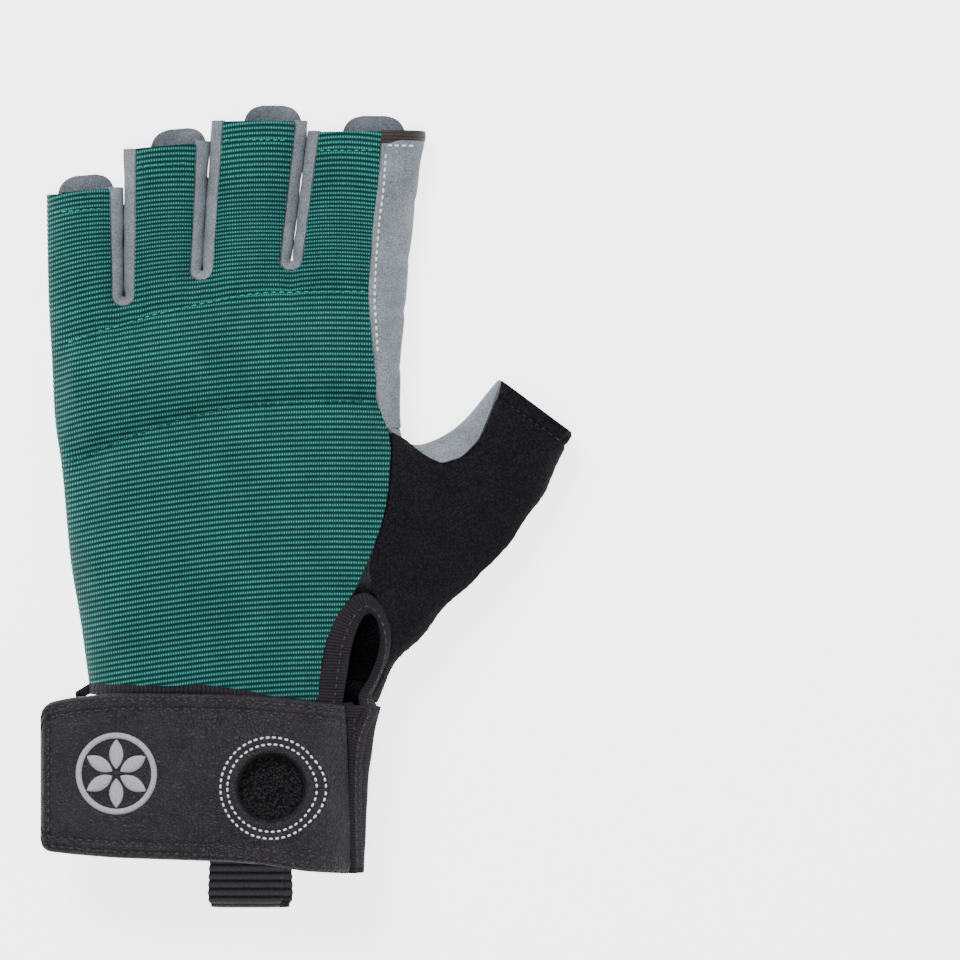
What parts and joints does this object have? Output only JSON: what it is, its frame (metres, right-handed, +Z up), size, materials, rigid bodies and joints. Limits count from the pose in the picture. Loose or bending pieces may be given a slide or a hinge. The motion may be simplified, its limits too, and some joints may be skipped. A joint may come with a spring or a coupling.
{
  "type": "climbing glove",
  "caption": "Half-finger climbing glove for the left hand, with a ribbed back, quilted knuckles, a suede palm and a wide closing strap at the wrist.",
  "frame": {"origin": "under the middle of the glove, on the surface that it lies on", "axes": "+Y towards the fingertips, +X towards the thumb, +Z up through the back of the hand"},
  "size_m": [0.1366, 0.21, 0.0312],
  "materials": {
    "green_fabric": "matt ribbed stretch fabric",
    "suede": "grey brushed suede",
    "tab_suede": "darker grey brushed suede",
    "hem_binding": "dark turned hem",
    "black_knit": "black brushed knit",
    "ribbed_binding": "black ribbed binding",
    "cuff_elastic": "black twill elastic",
    "loop_patch": "black hook-and-loop base",
    "black_leather": "black grained leather",
    "webbing": "black woven webbing"
  },
  "bodies": {
    "root": {"back_panel": "green_fabric", "palm_panel": "suede", "thumb_front_panel": "suede", "index_side_panel": "suede", "fourchette_little_ring": "suede", "fourchette_ring_middle": "suede", "fourchette_middle_index": "suede", "tab_little": "tab_suede", "tab_ring": "tab_suede", "tab_middle": "tab_suede", "tab_index": "tab_suede", "index_hem": "hem_binding", "thumb_back_panel": "black_knit", "back_hem_binding": "ribbed_binding", "palm_hem_binding": "ribbed_binding", "vent_binding": "ribbed_binding", "strap_anchor": "ribbed_binding", "cuff_elastic": "cuff_elastic", "loop_patch": "loop_patch", "cuff_strap": "black_leather", "pull_loop": "webbing", "small_loop_ulnar": "webbing", "small_loop_radial": "webbing"}
  },
  "joints": []
}
